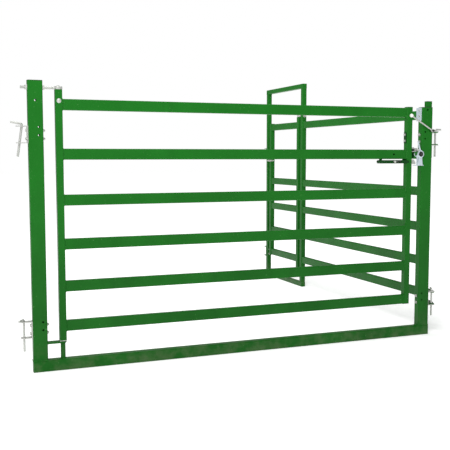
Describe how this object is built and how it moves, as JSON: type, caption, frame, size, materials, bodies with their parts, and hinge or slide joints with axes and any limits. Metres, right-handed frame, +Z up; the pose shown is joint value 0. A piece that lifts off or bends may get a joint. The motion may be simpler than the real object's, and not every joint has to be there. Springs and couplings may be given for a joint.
{
  "type": "livestock panel gate",
  "caption": "Six-rail swing gate in a two-post sill frame with slide bolt, catch lever and pin connectors, joined to a railed side panel that ends in a walk-through with its own gate",
  "frame": {"origin": "middle of the sill's underside, on the ground, halfway along the gateway and midway through the posts' depth", "axes": "+X from the hinge post to the latch post, +Y from the handler's side to the side the panel runs off to, +Z up"},
  "size_m": [3.496, 3.6144, 2.307],
  "materials": {
    "green_paint": "gloss green powder coat over steel tube, slightly uneven",
    "zinc_plate": "bright zinc plate with a cool grey sheen",
    "black_plastic": "dull black moulding or black-finished steel",
    "white_knob": "off-white moulded plastic"
  },
  "bodies": {
    "gate_frame": {"sill": "green_paint", "sill_end_caps": "green_paint", "hinge_post": "green_paint", "latch_post": "green_paint", "latch_post_inner_tube": "green_paint", "post_caps": "black_plastic", "hinge_lug": "green_paint", "hinge_foot_pintle": "green_paint", "hinge_eye_bolt": "zinc_plate", "hinge_eye_nuts": "zinc_plate", "connectors_hinge_post": "zinc_plate", "connectors_latch_post": "zinc_plate", "connector_bolts": "zinc_plate", "strike_plate": "zinc_plate", "keeper_plate": "zinc_plate", "latch_plate": "zinc_plate", "latch_backing_plate": "green_paint", "latch_bolts": "zinc_plate", "latch_pivot_bolt": "black_plastic", "guard_rod_pivot": "black_plastic"},
    "gate": {"gate_hinge_upright": "green_paint", "gate_latch_upright": "green_paint", "gate_rail_1": "green_paint", "gate_rail_2": "green_paint", "gate_rail_3": "green_paint", "gate_rail_4": "green_paint", "gate_rail_5": "green_paint", "gate_rail_6": "green_paint", "gate_pivot_pin": "zinc_plate", "gate_foot_bush": "zinc_plate", "gate_upright_caps": "black_plastic", "striker_arm": "zinc_plate", "striker_web": "green_paint", "striker_stud": "zinc_plate", "striker_backing_plate": "green_paint", "bolt_housing": "green_paint"},
    "slide_bolt_body": {"slide_bolt": "zinc_plate", "slide_bolt_tip": "zinc_plate"},
    "latch_lever_body": {"latch_lever": "zinc_plate"},
    "guard_rod_body": {"guard_rod": "zinc_plate", "guard_rod_knob": "white_knob"},
    "pin_hinge_top": {"drop_pin_hinge_top": "zinc_plate"},
    "pin_hinge_foot": {"drop_pin_hinge_foot": "zinc_plate"},
    "pin_latch_top": {"drop_pin_latch_top": "zinc_plate"},
    "pin_latch_foot": {"drop_pin_latch_foot": "zinc_plate"},
    "side_panel": {"connectors_far_post": "green_paint", "far_connector_bolts": "zinc_plate", "panel_upright": "green_paint", "panel_rails": "green_paint", "panel_ears": "green_paint", "panel_caps": "black_plastic", "walk_frame_posts": "green_paint", "walk_frame_bars": "green_paint", "walk_eye_bolt": "zinc_plate", "walk_hinge_foot": "green_paint"},
    "walk_gate": {"walk_gate_uprights": "green_paint", "walk_gate_rails": "green_paint", "walk_gate_pivots": "zinc_plate", "walk_bolt_guides": "zinc_plate"},
    "walk_bolt_body": {"walk_slide_bolt": "zinc_plate"}
  },
  "joints": [
    {"name": "gate_swing", "type": "hinge", "parent": "gate_frame", "child": "gate", "pos_m": [-1.417, 0, 1], "axis": [0, 0, 1], "range_deg": [0, 95]},
    {"name": "slide_bolt_slide", "type": "slide", "parent": "gate", "child": "slide_bolt_body", "axis": [1, 0, 0], "range_m": [0, 0.06]},
    {"name": "latch_lever_turn", "type": "hinge", "parent": "gate_frame", "child": "latch_lever_body", "pos_m": [1.507, -0.0415, 1.51], "axis": [0, 1, 0], "range_deg": [0, 50]},
    {"name": "guard_rod_lift", "type": "hinge", "parent": "gate_frame", "child": "guard_rod_body", "pos_m": [1.611, -0.053, 1.701], "axis": [0, 1, 0], "range_deg": [0, 110]},
    {"name": "pin_hinge_top_lift", "type": "slide", "parent": "gate_frame", "child": "pin_hinge_top", "axis": [0.1478, 0, 0.989], "range_m": [0, 0.14]},
    {"name": "pin_hinge_foot_lift", "type": "slide", "parent": "gate_frame", "child": "pin_hinge_foot", "axis": [0, 0, 1], "range_m": [0, 0.14]},
    {"name": "pin_latch_top_lift", "type": "slide", "parent": "gate_frame", "child": "pin_latch_top", "axis": [0, 0, 1], "range_m": [0, 0.14]},
    {"name": "pin_latch_foot_lift", "type": "slide", "parent": "gate_frame", "child": "pin_latch_foot", "axis": [0, 0, 1], "range_m": [0, 0.14]},
    {"name": "side_panel_swing", "type": "hinge", "parent": "gate_frame", "child": "side_panel", "pos_m": [1.678, 0.005, 0.97], "axis": [0, 0, 1], "range_deg": [-40, 35]},
    {"name": "walk_gate_swing", "type": "hinge", "parent": "side_panel", "child": "walk_gate", "pos_m": [1.727, 2.604, 1], "axis": [0, 0, -1], "range_deg": [0, 95]},
    {"name": "walk_bolt_slide", "type": "slide", "parent": "walk_gate", "child": "walk_bolt_body", "axis": [0, 1, 0], "range_m": [0, 0.06]}
  ]
}
